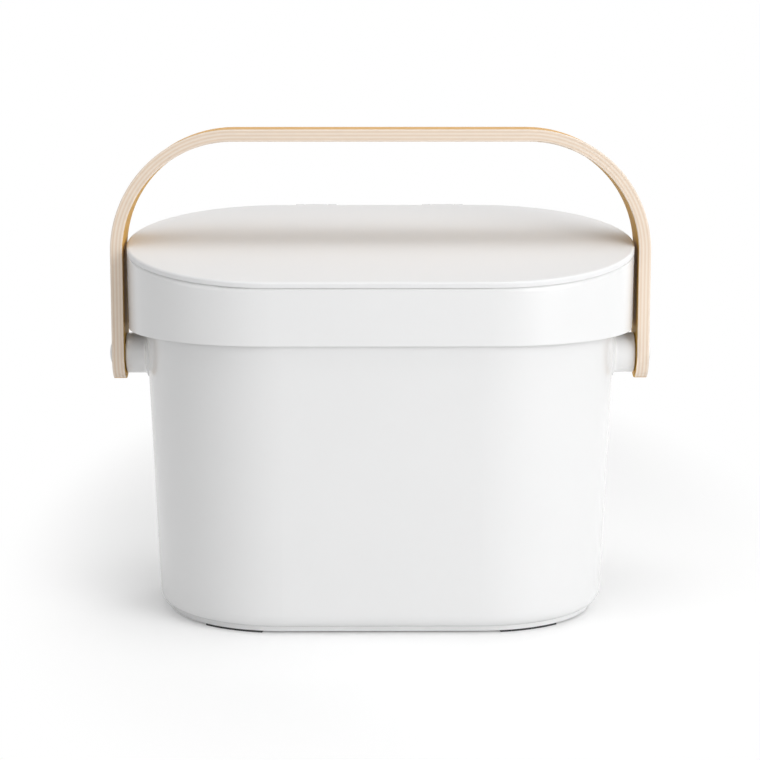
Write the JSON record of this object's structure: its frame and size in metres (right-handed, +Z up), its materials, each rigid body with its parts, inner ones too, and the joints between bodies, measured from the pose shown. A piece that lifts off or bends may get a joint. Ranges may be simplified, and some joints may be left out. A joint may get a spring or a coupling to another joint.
{
  "type": "compost caddy with hinged lid",
  "caption": "Obround kitchen compost caddy: tapered bucket, overhanging collar with a sloping rim, thin rear-hinged lid and a swinging bentwood bail handle.",
  "frame": {"origin": "on the floor, midway between the pivots and under the handle's plane, which is the middle of the bucket's base", "axes": "+X to the right as seen from the front, along the handle's bar; -Y is the front, where the rim is lowest; +Z up"},
  "size_m": [0.2746, 0.1551, 0.2442],
  "materials": {
    "bucket_plastic": "white, satin sheen",
    "collar_plastic": "white, satin sheen",
    "lid_plastic": "white, fine matte grain",
    "seal_rubber": "matte white",
    "hinge_pin_steel": "drawn",
    "laminated_wood": "bent laminated veneer, clear satin lacquer, pale edge with fine ply lines",
    "bush_brass": "turned",
    "screw_metal": "light grey, satin",
    "washer_nylon": "natural",
    "spacer_nylon": "dark",
    "spring_steel": "tempered",
    "insert_brass": "knurled",
    "foot_rubber": "matte dark grey"
  },
  "bodies": {
    "caddy": {"bucket": "bucket_plastic", "collar": "collar_plastic", "hinge_pin_left": "hinge_pin_steel", "hinge_pin_right": "hinge_pin_steel", "pivot_screw_left": "screw_metal", "pivot_screw_right": "screw_metal", "head_washer_left": "washer_nylon", "head_washer_right": "washer_nylon", "spacer_washer_left": "spacer_nylon", "spacer_washer_right": "spacer_nylon", "spring_washer_left": "spring_steel", "spring_washer_right": "spring_steel", "threaded_insert_left": "insert_brass", "threaded_insert_right": "insert_brass", "foot_pad_front_left": "foot_rubber", "foot_pad_front_right": "foot_rubber", "foot_pad_back_left": "foot_rubber", "foot_pad_back_right": "foot_rubber"},
    "lid": {"lid": "lid_plastic", "lid_seal": "seal_rubber"},
    "handle": {"handle_strap": "laminated_wood", "strap_bush_left": "bush_brass", "strap_bush_right": "bush_brass"}
  },
  "joints": [
    {"name": "lid_hinge", "type": "hinge", "parent": "caddy", "child": "lid", "pos_m": [0, 0.07782, 0.19649], "axis": [-1, 0, 0], "range_deg": [0, 3]},
    {"name": "handle_swing", "type": "hinge", "parent": "caddy", "child": "handle", "pos_m": [0, 0, 0.1307], "axis": [1, 0, 0], "range_deg": [-133, 133]}
  ]
}
